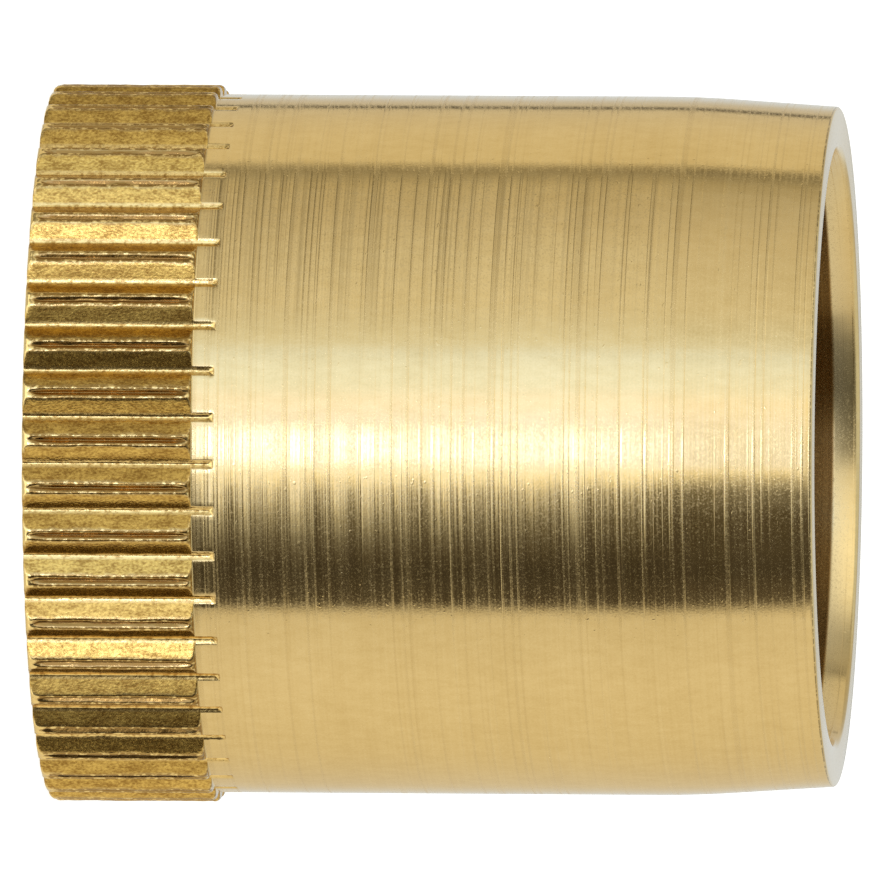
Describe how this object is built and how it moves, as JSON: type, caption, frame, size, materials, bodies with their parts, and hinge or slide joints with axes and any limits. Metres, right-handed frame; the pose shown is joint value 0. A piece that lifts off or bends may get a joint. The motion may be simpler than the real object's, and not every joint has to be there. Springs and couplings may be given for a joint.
{
  "type": "reinforcing sleeve",
  "caption": "Turned brass liner sleeve with a knurled collar, a plain body, a tapered nose and a through bore; it stiffens the end of a thin-walled tube.",
  "frame": {"origin": "centre of the collar end face, on which the sleeve stands", "axes": "+Z along the sleeve's axis, from the collar end face to the nose"},
  "size_m": [0.0132, 0.0132, 0.0145],
  "materials": {
    "brass": "fine-turned brass, with knurling on the collar"
  },
  "bodies": {
    "root": {"sleeve": "brass"}
  },
  "joints": []
}
